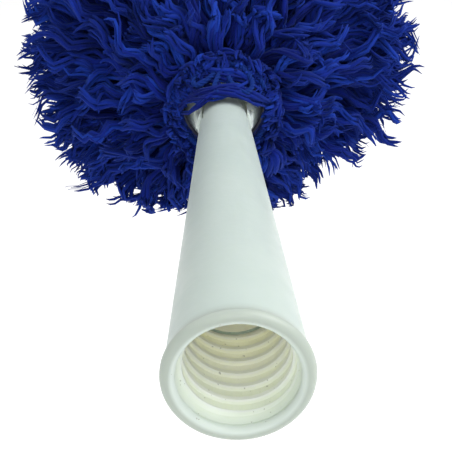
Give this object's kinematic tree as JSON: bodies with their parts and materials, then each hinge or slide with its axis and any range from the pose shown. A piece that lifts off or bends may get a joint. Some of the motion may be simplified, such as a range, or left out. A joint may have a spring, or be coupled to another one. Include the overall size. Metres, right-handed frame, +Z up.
{
  "type": "feather duster",
  "caption": "Fluffy yarn duster head on a tapered socket handle that tilts at the neck and screws onto a pole; the head sleeve pulls off for washing.",
  "frame": {"origin": "on the duster's axis, at the shoulder inside the socket where a pole's end stops", "axes": "+Y along the axis from the socket towards the tip of the head, +Z up, +X to the right of a viewer who looks into the socket"},
  "size_m": [0.164, 0.4508, 0.139],
  "materials": {
    "white_plastic": "satin",
    "core_plastic": "matte",
    "steel": "satin",
    "knit": "matte",
    "cord": "matte",
    "pile": "matte"
  },
  "bodies": {
    "handle": {"handle": "white_plastic"},
    "neck": {"yoke": "white_plastic", "pivot_pin": "white_plastic", "pin_cap": "white_plastic", "core_tube": "core_plastic", "cross_pin": "steel", "end_cap": "core_plastic"},
    "sleeve": {"backing": "knit", "hem": "knit", "drawstring": "cord", "pile_row_01": "pile", "pile_row_02": "pile", "pile_row_03": "pile", "pile_row_04": "pile", "pile_row_05": "pile", "pile_row_06": "pile", "pile_row_07": "pile", "pile_row_08": "pile", "pile_row_09": "pile", "pile_row_10": "pile", "pile_row_11": "pile", "pile_row_12": "pile"}
  },
  "joints": [
    {"name": "neck_tilt", "type": "hinge", "parent": "handle", "child": "neck", "pos_m": [0, 0.1, 0], "axis": [1, 0, 0], "range_deg": [-60, 60]},
    {"name": "sleeve_pull", "type": "slide", "parent": "neck", "child": "sleeve", "axis": [0, 1, 0], "range_m": [0, 0.3]}
  ]
}
